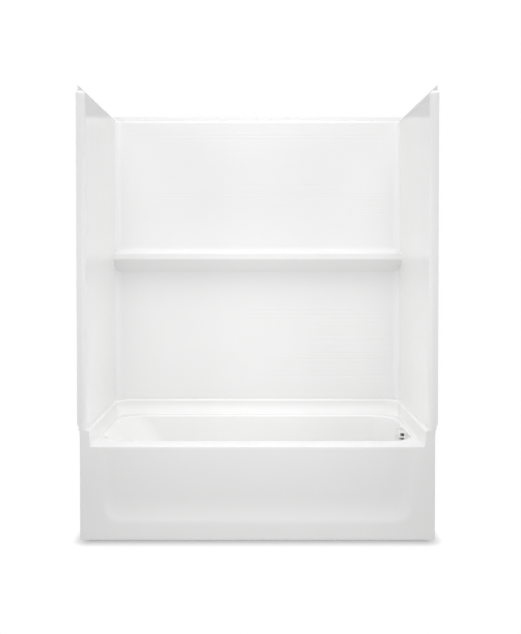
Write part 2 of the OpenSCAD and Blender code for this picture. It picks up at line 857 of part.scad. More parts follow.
module drain_shoe() {
    body_r = barrel_r + socket_wall;
    rim_h = 5;
    foot = waste_z - socket_r;
    color("ivory") difference() {
        union() {
            at_drain(foot) cylinder(r = body_r, h = shoe_top - foot, $fn = round_fn);
            at_drain(shoe_top - rim_h) cylinder(r = drain_r - 2, h = rim_h, $fn = round_fn);
            at_drain(waste_z) rotate([0, 90, 0])
                cylinder(r = socket_r, h = shoe_x - drain_x, $fn = round_fn);
        }
        at_drain(barrel_z - over) cylinder(r = barrel_r + fit, h = shoe_top, $fn = round_fn);
        at_drain(waste_z) rotate([0, 90, 0])
            cylinder(r = bore_r, h = shoe_x - drain_x + over, $fn = round_fn);
        at_drain(waste_z) sphere(r = bore_r, $fn = round_fn);
        at_drain(waste_z) cylinder(r = bore_r, h = shoe_top, $fn = round_fn);
        translate([shoe_x - socket_l, basin_mid, waste_z]) rotate([0, 90, 0])
            cylinder(r = tube_r + fit, h = socket_l + over, $fn = round_fn);
    }
}

module waste_tube() {
    x0 = shoe_x - socket_l;
    x1 = branch_x + socket_l;
    color("ivory") translate([x0, basin_mid, waste_z]) rotate([0, 90, 0]) difference() {
        cylinder(r = tube_r, h = x1 - x0, $fn = round_fn);
        translate([0, 0, -over]) cylinder(r = bore_r, h = x1 - x0 + 2 * over, $fn = round_fn);
    }
}

module waste_tee() {
    color("ivory") difference() {
        union() {
            translate([stack_x, basin_mid, tee_foot])
                cylinder(r = socket_r, h = tee_top - tee_foot, $fn = round_fn);
            translate([branch_x, basin_mid, waste_z]) rotate([0, 90, 0])
                cylinder(r = socket_r, h = stack_x - branch_x, $fn = round_fn);
        }
        translate([stack_x, basin_mid, tee_foot - over]) {
            cylinder(r = bore_r, h = tee_top - tee_foot + 2 * over, $fn = round_fn);
            cylinder(r = tube_r + fit, h = socket_l + over, $fn = round_fn);
        }
        translate([stack_x, basin_mid, tee_top - socket_l])
            cylinder(r = tube_r + fit, h = socket_l + over, $fn = round_fn);
        translate([branch_x - over, basin_mid, waste_z]) rotate([0, 90, 0]) {
            cylinder(r = bore_r, h = stack_x - branch_x, $fn = round_fn);
            cylinder(r = tube_r + fit, h = socket_l + over, $fn = round_fn);
        }
    }
}

// A nut with eight flats over the end of a socket: the socket ends at height 0, and the tube
// leaves upwards
module slip_nut() {
    grip = 10;
    collar_r = nut_r - 3;
    difference() {
        translate([0, 0, -grip]) {
            cylinder(r = nut_r, h = grip + washer_l, $fn = 8);
            cylinder(r = collar_r, h = grip + washer_l + nut_lip, $fn = round_fn);
        }
        translate([0, 0, -grip - over])
            cylinder(r = socket_r + fit, h = grip + washer_l + over, $fn = round_fn);
        cylinder(r = tube_r + 4 * fit, h = 2 * nut_lip + washer_l, $fn = round_fn);
    }
}

module slip_washer() {
    difference() {
        cylinder(r = socket_r - 0.5, h = washer_l, $fn = round_fn);
        translate([0, 0, -over]) cylinder(r = tube_r + fit, h = washer_l + 2 * over, $fn = round_fn);
    }
}

// The four joints of the waste and overflow tubes
module at_joints() {
    translate([shoe_x, basin_mid, waste_z]) rotate([0, 90, 0]) children();
    translate([branch_x, basin_mid, waste_z]) rotate([0, -90, 0]) children();
    translate([stack_x, basin_mid, tee_top]) children();
    translate([stack_x, basin_mid, elbow_foot]) rotate([180, 0, 0]) children();
}

module slip_nuts() {
    color("white") at_joints() slip_nut();
}

module slip_washers() {
    color("dimgray") at_joints() slip_washer();
}

module stopper_post() {
    color("silver") at_drain(boss_z) {
        cylinder(r = stud_r, h = boss_h, $fn = 32);
        translate([0, 0, boss_h])
            cylinder(r = post_r, h = drain_seat - boss_z - boss_h, $fn = 32);
    }
}

module stopper_sleeve() {
    z0 = boss_z + boss_h + post_gap;
    color("silver") at_drain(z0) difference() {
        cylinder(r = sleeve_r, h = cap_z - z0, $fn = 48);
        translate([0, 0, -over]) cylinder(r = post_r + fit, h = cap_z - z0 + 2 * over, $fn = 48);
    }
}

module stopper_seal() {
    color("dimgray") at_drain(drain_seat) difference() {
        cylinder(r = seal_r, h = stop_seal_t, $fn = round_fn);
        translate([0, 0, -over]) cylinder(r = sleeve_r, h = stop_seal_t + 2 * over, $fn = round_fn);
    }
}

module stopper_cap() {
    brim = 1;
    brim_z = cap_z + 2.5;
    stem_r = post_r - post_gap;
    color("silver") at_drain() rotate_extrude($fn = round_fn) polygon([
        [stem_r + fit, cap_z], [seal_r - 0.5, cap_z], [seal_r - 0.5, brim_z], [cap_r, brim_z],
        [cap_r, brim_z + brim], [cap_r - 4 * brim, cap_top - 1.5 * brim],
        [knob_r + 3 * brim, cap_top], [stem_r + fit, cap_top]
    ]);
}

module stopper_knob() {
    foot_r = knob_r - 1;
    waist = knob_r - 2.5;
    waist_z = cap_top + 0.4 * knob_h;
    crown = 2;
    color("silver") at_drain() {
        translate([0, 0, cap_z]) cylinder(r = post_r - post_gap, h = cap_h + over, $fn = 48);
        rotate_extrude($fn = 48) polygon(concat(
            [[0, cap_top], [foot_r, cap_top], [waist, waist_z]],
            arc([knob_r - crown, cap_top + knob_h - crown], crown, -30, 90, 8),
            [[0, cap_top + knob_h]]
        ));
    }
}

bathtub();
foam_bed();
back_wall();
left_end_wall();
right_end_wall();
back_seal();
left_seal();
right_seal();
left_corner_clips();
right_corner_clips();
overflow_cover();
overflow_screws();
overflow_gasket();
overflow_elbow();
overflow_tube();
drain_flange();
drain_gasket();
drain_shoe();
waste_tube();
waste_tee();
slip_nuts();
slip_washers();
stopper_post();
stopper_sleeve();
stopper_seal();
stopper_cap();
stopper_knob();
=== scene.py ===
"""Looks of a white alcove tub and shower: bathtub with apron, wall panels, shelf, drain and overflow."""

import math

import bmesh
import bpy
from mathutils import Matrix, Vector


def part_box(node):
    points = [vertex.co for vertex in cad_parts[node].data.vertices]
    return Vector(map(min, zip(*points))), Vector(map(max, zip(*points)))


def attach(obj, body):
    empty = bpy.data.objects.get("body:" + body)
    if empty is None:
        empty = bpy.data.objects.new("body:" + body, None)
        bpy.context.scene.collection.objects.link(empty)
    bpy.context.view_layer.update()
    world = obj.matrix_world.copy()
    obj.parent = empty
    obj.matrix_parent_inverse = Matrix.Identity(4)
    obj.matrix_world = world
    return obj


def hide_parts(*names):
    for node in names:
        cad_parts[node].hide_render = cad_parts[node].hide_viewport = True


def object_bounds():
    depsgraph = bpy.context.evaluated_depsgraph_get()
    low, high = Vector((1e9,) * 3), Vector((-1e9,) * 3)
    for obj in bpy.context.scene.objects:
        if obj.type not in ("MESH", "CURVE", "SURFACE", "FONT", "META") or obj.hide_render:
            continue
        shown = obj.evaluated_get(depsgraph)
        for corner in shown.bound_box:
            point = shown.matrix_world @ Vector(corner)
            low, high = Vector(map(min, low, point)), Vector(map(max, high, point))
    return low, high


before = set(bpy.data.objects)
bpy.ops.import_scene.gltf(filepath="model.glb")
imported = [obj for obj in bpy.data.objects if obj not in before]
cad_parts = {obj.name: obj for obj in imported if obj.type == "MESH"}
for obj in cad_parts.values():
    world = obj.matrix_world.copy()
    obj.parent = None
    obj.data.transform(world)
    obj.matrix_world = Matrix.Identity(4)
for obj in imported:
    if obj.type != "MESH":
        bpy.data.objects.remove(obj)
cad_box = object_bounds()
scene = bpy.context.scene
scene.view_settings.view_transform = "Standard"


# The photographer's place: a camera in front of the unit, tilted down by one degree. The lens axis
# meets the picture above its middle, which the lens shift takes up.
PICTURE_W = 521
PICTURE_H = 634
AXIS_PX = (257.5, 270.4)
FOCAL_PX = 761
TILT = 0.0186
SENSOR_MM = 36
EYE_DISTANCE = 3.2136
EYE_HEIGHT = 1.2054

camera_data = bpy.data.cameras.new("camera")
camera_data.sensor_width = SENSOR_MM
camera_data.lens = SENSOR_MM * FOCAL_PX / PICTURE_H
camera_data.shift_x = (PICTURE_W / 2 - AXIS_PX[0]) / PICTURE_H
camera_data.shift_y = (AXIS_PX[1] - PICTURE_H / 2) / PICTURE_H
camera = bpy.data.objects.new("camera", camera_data)
camera.location = (0, cad_box[0].y - EYE_DISTANCE, EYE_HEIGHT)
camera.rotation_euler = (math.pi / 2 - TILT, 0, 0)
scene.collection.objects.link(camera)
scene.camera = camera


# The studio: a white room with even light, wide soft lamps overhead, at both sides and behind, and
# weak ones that open up the alcove. The room's white shows to the camera and in gloss. The floor is
# white too, but near the unit's foot it is painted a darker grey: a painted shadow over the real one,
# which fades outwards into the white from a little inside the unit's ends.
WHITE = (1, 1, 1, 1)
ROOM_LIGHT = 0.2
FLOOR_HALF = 9.0
FLOOR_MATT = 0.75
# The painted shadow at the unit's foot: its grey, how far it reaches, and how far inside the ends it
# starts
PAINTED_SHADOW_GREY = 0.42
PAINTED_SHADOW_REACH = 0.08
PAINTED_SHADOW_SET = 0.06
CARD_GREY = 0.5
CARD_HALF = 2.5
CARD_Y = 0.6
CARD_LOW = 1.2
CARD_HIGH = 3.2


class Value:
    """A socket in a node tree. Sums, products, quotients and comparisons add Math nodes."""

    def __init__(self, tree, socket):
        self.tree = tree
        self.socket = socket

    def _math(self, operation, first, second):
        node = self.tree.nodes.new("ShaderNodeMath")
        node.operation = operation
        for slot, value in zip(node.inputs, (first, second)):
            join(self.tree, value, slot)
        return Value(self.tree, node.outputs[0])

    def __add__(self, other):
        return self._math("ADD", self, other)

    def __radd__(self, other):
        return self._math("ADD", other, self)

    def __mul__(self, other):
        return self._math("MULTIPLY", self, other)

    def __rmul__(self, other):
        return self._math("MULTIPLY", other, self)

    def __truediv__(self, other):
        return self._math("DIVIDE", self, other)

    def __rtruediv__(self, other):
        return self._math("DIVIDE", other, self)

    def __gt__(self, other):
        return self._math("GREATER_THAN", self, other)

    def __lt__(self, other):
        return self._math("LESS_THAN", self, other)


def join(tree, value, socket):
    """Gives a socket a number, a colour or the value of another socket."""
    if isinstance(value, Value):
        tree.links.new(value.socket, socket)
    elif value is not None:
        socket.default_value = value


class Tree:
    """A node tree being written. node() adds one node and returns an output of it."""

    def node(self, kind, settings=None, inputs=None, output=0):
        node = self.tree.nodes.new(kind)
        for name, value in (settings or {}).items():
            setattr(node, name, value)
        for name, value in (inputs or {}).items():
            join(self.tree, value, node.inputs[name])
        return Value(self.tree, node.outputs[output]) if node.outputs else None

    def vector(self, operation, first, second=None, output="Vector"):
        """The result of a Vector Math node."""
        return self.node(
            "ShaderNodeVectorMath", {"operation": operation}, {0: first, 1: second}, output
        )


class Finish(Tree):
    """The nodes of a material or of the world."""

    def __init__(self, owner):
        owner.use_nodes = True
        self.owner = owner
        self.tree = owner.node_tree
        self.tree.nodes.clear()

    def place(self):
        """Where a point is on the object, in metres."""
        return self.node("ShaderNodeTexCoord", output="Object")

    def noise(self, scale, detail=2.0, roughness=0.5, stretch=(1, 1, 1)):
        """Soft noise from 0 to 1, with about scale waves a metre."""
        spread = self.vector("MULTIPLY", self.place(), stretch)
        return self.node(
            "ShaderNodeTexNoise",
            {"noise_dimensions": "3D"},
            {"Vector": spread, "Scale": scale, "Detail": detail, "Roughness": roughness},
        )

    def mixed(self, share, first, second):
        """A colour between two colours."""
        return self.node(
            "ShaderNodeMix",
            {"data_type": "RGBA"},
            {"Factor": share, 6: first, 7: second},
            output=2,
        )

    def bump(self, height, distance, strength=1.0):
        """Normals of a surface that rises by distance where height is 1."""
        return self.node(
            "ShaderNodeBump", None, {"Strength": strength, "Distance": distance, "Height": height}
        )

    def ray(self, kind):
        """1 where a ray of this kind meets the surface, else 0."""
        return self.node("ShaderNodeLightPath", output=kind)

    def blend(self, share, first, second):
        """A shader between two shaders."""
        return self.node("ShaderNodeMixShader", None, {0: share, 1: first, 2: second})

    def end(self, shader, kind="ShaderNodeOutputMaterial"):
        """Makes a shader the look of the material or world."""
        self.node(kind, None, {"Surface": shader})

    def surface(self, inputs):
        """Ends a material with the common shader, with these values in its sockets."""
        self.end(self.node("ShaderNodeBsdfPrincipled", None, inputs))


def new_finish(name):
    return Finish(bpy.data.materials.new(name))


def grey(level):
    return (level, level, level, 1)


room = Finish(bpy.data.worlds.new("room"))
room_seen = room.ray("Is Camera Ray") + room.ray("Is Glossy Ray") + room.ray("Is Transmission Ray")
room_light = room.node("ShaderNodeBackground", None, {"Color": WHITE, "Strength": ROOM_LIGHT})
room_white = room.node("ShaderNodeBackground", None, {"Color": WHITE, "Strength": 1.0})
room.end(room.blend(room_seen > 0.5, room_light, room_white), "ShaderNodeOutputWorld")
scene.world = room.owner

floor_finish = new_finish("studio_floor")
footprint = Vector((cad_box[1].x - PAINTED_SHADOW_SET, cad_box[1].y, 1))
past_foot = floor_finish.vector(
    "SUBTRACT", floor_finish.vector("ABSOLUTE", floor_finish.place()), footprint
)
off_foot = floor_finish.vector("MAXIMUM", past_foot, (0, 0, 0))
distance = floor_finish.vector("LENGTH", off_foot, output="Value")
floor_seen = floor_finish.ray("Is Camera Ray") + floor_finish.ray("Is Glossy Ray")
floor_matt = floor_finish.node("ShaderNodeBsdfDiffuse", None, {"Color": grey(FLOOR_MATT)})
# Near the foot the camera and gloss see this darker grey, a painted shadow that fades into the white
# over its reach
floor_painted_shadow = floor_finish.node("ShaderNodeBsdfDiffuse", None, {"Color": grey(PAINTED_SHADOW_GREY)})
floor_white = floor_finish.node("ShaderNodeEmission", None, {"Color": WHITE, "Strength": 1.0})
floor_look = floor_finish.blend(distance / PAINTED_SHADOW_REACH, floor_painted_shadow, floor_white)
floor_finish.end(floor_finish.blend(floor_seen > 0.5, floor_matt, floor_look))


def plate(name, corners, finish):
    """A flat stage piece through four corners."""
    mesh = bpy.data.meshes.new(name)
    mesh.from_pydata(corners, [], [tuple(range(len(corners)))])
    mesh.materials.append(finish)
    piece = bpy.data.objects.new(name, mesh)
    scene.collection.objects.link(piece)
    return piece


plate(
    "studio_floor",
    [(x * FLOOR_HALF, y * FLOOR_HALF, 0) for x, y in ((-1, -1), (1, -1), (1, 1), (-1, 1))],
    floor_finish.owner,
)


def lamp(name, place, aim, size, power):
    """A soft rectangular lamp at place that shines towards aim."""
    data = bpy.data.lights.new(name, "AREA")
    data.shape = "RECTANGLE"
    data.size, data.size_y = size
    data.energy = power
    light_object = bpy.data.objects.new(name, data)
    light_object.location = place
    light_object.rotation_euler = (Vector(aim) - Vector(place)).to_track_quat("-Z", "Y").to_euler()
    light_object.visible_camera = False
    light_object.visible_glossy = False
    scene.collection.objects.link(light_object)


lamp("overhead", (0, -1.2, 3.6), (0, 0.1, 0.8), (3.2, 2.2), 36)
lamp("sky", (0, -3, 8), (0, -0.2, 0.8), (4, 2), 88)
lamp("left", (-3.5, -3, 1.6), (0, 0, 1.0), (2, 3), 42)
lamp("right", (3.5, -3, 1.6), (0, 0, 1.0), (2, 3), 40)
lamp("over_alcove", (0, -0.1, 2.8), (0, -0.05, 0.4), (1.4, 0.7), 4.2)
lamp("rear", (0, 4.5, 1.2), (0, 0, 1.0), (4, 2), 60)
lamp("near_fill", (0, -0.8, 1.0), (0, 0.33, 0.9), (1.2, 1.2), 2.5)
lamp("alcove_fill", (0, -0.36, 0.95), (0, 0.33, 0.85), (1.3, 0.8), 0.3)
lamp("basin_fill", (0, -0.36, 0.7), (0, 0.33, 0.5), (1.3, 0.3), 0.4)

# A grey card stands behind the unit and shows only in gloss.
card_finish = new_finish("grey_card")
card_finish.end(
    card_finish.node("ShaderNodeEmission", None, {"Color": grey(CARD_GREY), "Strength": 1.0})
)
card = plate(
    "grey_card",
    [
        (-CARD_HALF, CARD_Y, CARD_LOW),
        (CARD_HALF, CARD_Y, CARD_LOW),
        (CARD_HALF, CARD_Y, CARD_HIGH),
        (-CARD_HALF, CARD_Y, CARD_HIGH),
    ],
    card_finish.owner,
)
card.visible_camera = False
card.visible_diffuse = False
card.visible_shadow = False
card.visible_transmission = False


# The bathtub is one moulding of glossy white acrylic over a backing of glass fibre and resin. It is
# vacuum-formed as a shell: apron, deck, basin and the ledge that carries the walls are one skin.
SKIN = 0.005
SIDE_SET = 0.011
RIM_Z = 0.400
RIM_R = 0.007
FRONT_RIM = 0.092
REAR_DECK = 0.144
END_DECK = 0.064

# The ledge, and the ears in which it ends beside the walls' front columns
LEDGE_RISE = 0.068
END_GAP = 0.037
BACK_GAP = 0.056
BACK_LEDGE = 0.018
SIDE_LEDGE = 0.014
LEDGE_R = 0.060
LEDGE_NOSE = 0.010
REAR_COVE = 0.050
SIDE_COVE = 0.008
EAR_R = 0.0015
RETURN_D = 0.060
SKIRT_H = 0.031
SKIRT_R = 0.002

# The tiling flange and the legs, tucked in so that no two of their faces coincide
UPSTAND = 0.024
STRIP_W = 0.045
TUCK = 0.0003
LEG_W = 0.060
LEG_D = 0.040
LEG_X = 0.250

# The basin, from the curve round its floor to its mouth, and its two holes
FLOOR_Z = 0.100
FLOOR_CURVE = 0.040
BASIN_R = 0.130
BACK_KNEE_R = 0.120
END_KNEE_R = 0.090
BACKREST_RUN = 0.220
END_RUN = 0.030
SIDE_RUN = 0.035
MOUTH_R = 0.008
MOUTH_END = 0.008
DISH_D = 0.003
DISH_R = 0.042
DRAIN_HOLE_R = 0.024
DRAIN_BACK = 0.130
OVER_DROP = 0.045
OVER_HOLE_R = 0.027

# The recess of the apron: its outline, its ramps, and the share of a ramp that turns outwards
PANEL_END = 0.095
PANEL_HEAD = 0.018
PANEL_FOOT = 0.066
PANEL_RAMP = 0.112
PANEL_SIDE = 0.040
PANEL_DEPTH = 0.013
PANEL_LIP = 0.0005
PANEL_TURN = 0.18
PANEL_R = 0.075
PANEL_FLAT_R = 0.055
PANEL_HEAD_R = 0.020

# How finely curves are cut, and how near two points or a point and a plane count as one
CORNER_STEPS = 16
CURVE_STEPS = 8
ROUND_STEPS = 64
WELD = 1e-5
NEAR = 1e-6
FOLD = math.radians(35)

tub_low, tub_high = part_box("bathtub")
front = tub_low.y
back = tub_high.y
apron_half = tub_high.x - SIDE_SET
seat_z = RIM_Z + LEDGE_RISE
knee_z = FLOOR_Z + FLOOR_CURVE
nose_half = tub_high.x - END_GAP - SIDE_LEDGE
nose_back = back - BACK_GAP - BACK_LEDGE
basin_half = apron_half - END_DECK
basin_y0 = front + FRONT_RIM
basin_y1 = back - REAR_DECK
basin_mid = (basin_y0 + basin_y1) / 2
drain_x = basin_half - DRAIN_BACK
end_angle = math.atan(END_RUN / (RIM_Z - knee_z))
over_place = Vector((basin_half - OVER_DROP * math.tan(end_angle), basin_mid, RIM_Z - OVER_DROP))
over_turn = Matrix.Rotation(math.pi / 2 + end_angle, 3, "Y")
quarter = [math.pi / 2 * i / CURVE_STEPS for i in range(CURVE_STEPS + 1)]
corner_turn = [math.pi / 2 * i / CORNER_STEPS for i in range(CORNER_STEPS + 1)]


def ring(x0, x1, y0, y1, radii, z):
    """Points of a rounded rectangle, from its far right corner, counterclockwise."""
    points = []
    for corner, r in enumerate(radii):
        x = x1 - r if corner in (0, 3) else x0 + r
        y = y1 - r if corner < 2 else y0 + r
        for turn in corner_turn:
            a = math.pi / 2 * corner + turn
            points.append(Vector((x + r * math.cos(a), y + r * math.sin(a), z)))
    return points


def basin_ring(t, z, out_left, out_right, out_side, out_r):
    """A ring of the basin at height z: t is 0 at the foot of its walls and 1 at the rim."""
    left_r = BACK_KNEE_R + (BASIN_R - BACK_KNEE_R) * t + out_r
    right_r = END_KNEE_R + (BASIN_R - END_KNEE_R) * t + out_r
    return ring(
        -basin_half + BACKREST_RUN * (1 - t) - out_left,
        basin_half - END_RUN * (1 - t) + out_right,
        basin_y0 + SIDE_RUN * (1 - t) - out_side,
        basin_y1 - SIDE_RUN * (1 - t) + out_side,
        (right_r, left_r, left_r, right_r),
        z,
    )


def bend(u, run):
    """How far the curve between a sloping wall and the floor lies inside the wall's foot."""
    slope = run / (RIM_Z - knee_z)
    level = FLOOR_CURVE * (slope + math.sqrt(1 + slope * slope))
    return (1 - u) ** 2 * level + 2 * u * (1 - u) * slope * FLOOR_CURVE


def basin_rings():
    """The basin from the edge of its floor, up its walls and over its rounded mouth."""
    rings = []
    for i in range(CURVE_STEPS + 1):
        u = i / CURVE_STEPS
        side = bend(u, SIDE_RUN)
        z = FLOOR_Z + FLOOR_CURVE * u * u
        rings.append(basin_ring(0, z, -bend(u, BACKREST_RUN), -bend(u, END_RUN), -side, -side))
    mouth_z = RIM_Z - MOUTH_R
    for i in range(1, CURVE_STEPS):
        t = i / CURVE_STEPS * (mouth_z - knee_z) / (RIM_Z - knee_z)
        rings.append(basin_ring(t, knee_z + t * (RIM_Z - knee_z), 0, 0, 0, 0))
    for b in quarter:
        z = mouth_z + MOUTH_R * math.sin(b)
        share = 1 - math.cos(b)
        end = MOUTH_END * share
        side = MOUTH_R * share
        rings.append(basin_ring((z - knee_z) / (RIM_Z - knee_z), z, end, end, side, side))
    return rings


def circle(x, y, z, r):
    return [
        Vector((x + r * math.cos(a), y + r * math.sin(a), z))
        for a in (2 * math.pi * i / ROUND_STEPS for i in range(ROUND_STEPS))
    ]


def strip(bm, rows, closed):
    """Adds quads between rows of points that have as many points each."""
    made = [[bm.verts.new(p) for p in row] for row in rows]
    for low, high in zip(made, made[1:]):
        last = len(low) if closed else len(low) - 1
        for i in range(last):
            j = (i + 1) % len(low)
            bm.faces.new((low[i], low[j], high[j], high[i]))


def ledge_rows():
    """Section of the side coves and ledge: inset at the ends, at the back, height, edge radius.

    Its last two rows are the top and foot of the skirt that hangs from the ledge.
    """
    rows = []
    for a in quarter:
        share = 1 - math.sin(a)
        edge = EAR_R + (RIM_R - EAR_R) * share
        rows.append((SIDE_COVE * share, REAR_COVE * share, RIM_Z + REAR_COVE * (1 - math.cos(a)), edge))
    for b in quarter:
        share = 1 - math.cos(b)
        z = seat_z - LEDGE_NOSE * (1 - math.sin(b))
        rows.append((-SIDE_LEDGE * share, -LEDGE_NOSE * share, z, EAR_R))
    outer = (nose_half - apron_half, nose_back - back)
    rows.append((*outer, seat_z, EAR_R))
    rows.append((*outer, seat_z - SKIRT_H, EAR_R))
    return rows


def ledge_path(in_x, in_y, z, edge, r):
    """One row of the coves and ledge: along the left end, the back and the right end."""
    x = nose_half - in_x
    y = nose_back - in_y
    side = [Vector((x, front + edge, z)), Vector((x, front + RETURN_D, z)), Vector((x, 0, z))]
    corner = [Vector((x - r + r * math.cos(a), y - r + r * math.sin(a), z)) for a in corner_turn]
    right = side + corner
    left = [Vector((-p.x, p.y, p.z)) for p in reversed(right)]
    return right + left


def front_outline():
    """Outline of the front face over the floor: point, direction into the moulding, edge radius."""
    half = [(Vector((apron_half, 0)), Vector((-1, 0)), EAR_R)]
    half.append((Vector((apron_half, seat_z - SKIRT_H)), Vector((-1, 0)), EAR_R))
    half.append((Vector((apron_half, seat_z)), Vector((-1, -1)), EAR_R))
    for b in reversed(quarter):
        x = nose_half + SIDE_LEDGE * (1 - math.cos(b))
        z = seat_z - LEDGE_NOSE * (1 - math.sin(b))
        out = Vector((-math.cos(b) / SIDE_LEDGE, math.sin(b) / LEDGE_NOSE)).normalized()
        half.append((Vector((x, z)), -out, EAR_R))
    for a in reversed(quarter):
        share = 1 - math.sin(a)
        x = nose_half - SIDE_COVE * share
        z = RIM_Z + REAR_COVE * (1 - math.cos(a))
        out = Vector((-math.sin(a) / SIDE_COVE, math.cos(a) / REAR_COVE)).normalized()
        half.append((Vector((x, z)), -out, EAR_R + (RIM_R - EAR_R) * share))
    mirrored = [(Vector((-p.x, p.y)), Vector((-n.x, n.y)), edge) for p, n, edge in reversed(half)]
    return half + mirrored


def front_edge_rows():
    """The round edge between the front face and what lies behind it, from the face inwards."""
    rows = []
    for a in quarter:
        row = []
        for point, into, edge in front_outline():
            place = point + into * edge * (1 - math.sin(a))
            row.append(Vector((place.x, front + edge * (1 - math.cos(a)), place.y)))
        rows.append(row)
    return rows


def panel_rings():
    """The recess of the apron, from its outline to its flat: shallow at the head, deep at the sill."""
    half = apron_half - PANEL_END
    head_z = RIM_Z - PANEL_HEAD
    sill_z = PANEL_FOOT + PANEL_RAMP
    outline = ring(
        -half, half, PANEL_FOOT, head_z, (PANEL_HEAD_R, PANEL_HEAD_R, PANEL_R, PANEL_R), 0
    )
    inner = ring(
        -half + PANEL_SIDE,
        half - PANEL_SIDE,
        sill_z,
        head_z - PANEL_LIP,
        (PANEL_HEAD_R, PANEL_HEAD_R, PANEL_FLAT_R, PANEL_FLAT_R),
        0,
    )
    rings = []
    for i in range(2 * CURVE_STEPS + 1):
        t = i / (2 * CURVE_STEPS)
        soft = t * t / PANEL_TURN if t < PANEL_TURN else 1 - (1 - t) ** 2 / (1 - PANEL_TURN)
        row = []
        for p, q in zip(outline, inner):
            place = p.lerp(q, t)
            share = max(0, (head_z - place.y) / (head_z - sill_z))
            depth = PANEL_LIP + (PANEL_DEPTH - PANEL_LIP) * share
            row.append(Vector((place.x, front + soft * depth, place.y)))
        rings.append(row)
    return rings


def drain_rings():
    """The shallow dish round the drain's hole."""
    return [
        circle(drain_x, basin_mid, FLOOR_Z, DISH_R),
        circle(drain_x, basin_mid, FLOOR_Z - DISH_D / 2, DISH_R - DISH_D),
        circle(drain_x, basin_mid, FLOOR_Z - DISH_D, DISH_R - 2 * DISH_D),
        circle(drain_x, basin_mid, FLOOR_Z - DISH_D, DRAIN_HOLE_R),
    ]


def fill(bm, inside):
    """Fills the flat region between the open edges whose ends both satisfy inside."""
    edges = [e for e in bm.edges if len(e.link_faces) < 2 and all(inside(v.co) for v in e.verts)]
    bmesh.ops.triangle_fill(bm, use_beauty=True, use_dissolve=False, edges=edges)


def fill_panel(bm):
    """Closes the flat of the apron's recess with one face."""
    flat_z = PANEL_FOOT + PANEL_RAMP
    rim = []
    for edge in bm.edges:
        place = edge.verts[0].co
        in_depth = front + PANEL_LIP / 5 < place.y < front + 2 * PANEL_DEPTH
        in_outline = place.z > flat_z - 10 * WELD and abs(place.x) < apron_half - PANEL_END
        if len(edge.link_faces) == 1 and in_depth and in_outline:
            rim.append(edge)
    bmesh.ops.contextual_create(bm, geom=rim)


def tub_skin():
    """The face of the moulding that is seen and touched, with its faces outwards."""
    bm = bmesh.new()
    strip(bm, basin_rings(), closed=True)
    strip(bm, drain_rings(), closed=True)
    sections = ledge_rows()
    ledge = [ledge_path(*section, LEDGE_R) for section in sections[:-2]]
    skirt = [ledge_path(*section, SKIRT_R) for section in sections[-2:]]
    strip(bm, ledge + skirt, closed=False)
    strip(bm, front_edge_rows(), closed=False)
    strip(bm, panel_rings(), closed=True)
    return_z = seat_z - SKIRT_H
    for side in (-1, 1):
        places = ((EAR_R, 0), (RETURN_D, 0), (RETURN_D, return_z), (EAR_R, return_z))
        bm.faces.new([bm.verts.new((side * apron_half, front + y, z)) for y, z in places])
    bmesh.ops.remove_doubles(bm, verts=bm.verts, dist=WELD)
    foot = [v for v in bm.verts if abs(v.co.z) < NEAR and abs(v.co.y - front) < NEAR]
    bm.edges.new(foot)
    fill(bm, lambda place: abs(place.z - RIM_Z) < NEAR)
    fill(bm, lambda place: abs(place.z - FLOOR_Z) < NEAR)
    fill(bm, lambda place: abs(place.y - front) < NEAR)
    fill_panel(bm)
    bmesh.ops.recalc_face_normals(bm, faces=bm.faces)
    decks = [face for face in bm.faces if abs(face.calc_center_median().z - RIM_Z) < NEAR]
    if not any(deck.normal.z > 0 for deck in decks):
        bmesh.ops.reverse_faces(bm, faces=bm.faces)
    return bm


def pillar(bm, outline, low_z, high_z):
    """A closed upright block over an outline that runs counterclockwise."""
    low = [bm.verts.new((x, y, low_z)) for x, y in outline]
    high = [bm.verts.new((x, y, high_z)) for x, y in outline]
    bm.faces.new(list(reversed(low)))
    bm.faces.new(high)
    for i, start in enumerate(low):
        j = (i + 1) % len(low)
        bm.faces.new((start, low[j], high[j], high[i]))


def channel(x0, x1, y0, y1, wall):
    """Outline of a channel that is open at its y0 side if wall is positive, else at y1."""
    if wall < 0:
        return [(x0, y0), (x1, y0), (x1, y1), (x1 + wall, y1), (x1 + wall, y0 - wall),
                (x0 - wall, y0 - wall), (x0 - wall, y1), (x0, y1)]
    return [(x0, y0), (x0 + wall, y0), (x0 + wall, y1 - wall), (x1 - wall, y1 - wall),
            (x1 - wall, y0), (x1, y0), (x1, y1), (x0, y1)]


def tub_supports(bm):
    """The tiling flange round three sides of the ledge, and the four legs behind the basin."""
    half = tub_high.x
    foot_z = seat_z - SKIRT_H
    plan = channel(-half, half, front + STRIP_W, back - TUCK, SKIN)
    pillar(bm, plan, foot_z, seat_z + UPSTAND)
    strip_y = back - SKIN / 2
    for side in (-1, 1):
        inner, outer = sorted((side * (apron_half - SKIN), side * (half - SKIN / 2)))
        plan = [(inner, front + STRIP_W), (outer, front + STRIP_W), (outer, strip_y), (inner, strip_y)]
        pillar(bm, plan, foot_z, foot_z + SKIN)
    leg_end = apron_half - LEG_W / 2
    for x in (-leg_end, -LEG_X, LEG_X, leg_end):
        plan = channel(x - LEG_W / 2, x + LEG_W / 2, back - LEG_D, back - SKIN / 4, -SKIN)
        pillar(bm, plan, 0, seat_z - SKIN)


def object_from(bm, name, finishes):
    """A new object from a bmesh, which is freed."""
    mesh = bpy.data.meshes.new(name)
    bm.to_mesh(mesh)
    bm.free()
    for finish in finishes:
        mesh.materials.append(finish)
    piece = bpy.data.objects.new(name, mesh)
    scene.collection.objects.link(piece)
    return piece


def settle(piece):
    """Turns a piece and its modifiers into a plain mesh."""
    graph = bpy.context.evaluated_depsgraph_get()
    mesh = bpy.data.meshes.new_from_object(piece.evaluated_get(graph))
    piece.modifiers.clear()
    old = piece.data
    piece.data = mesh
    bpy.data.meshes.remove(old)


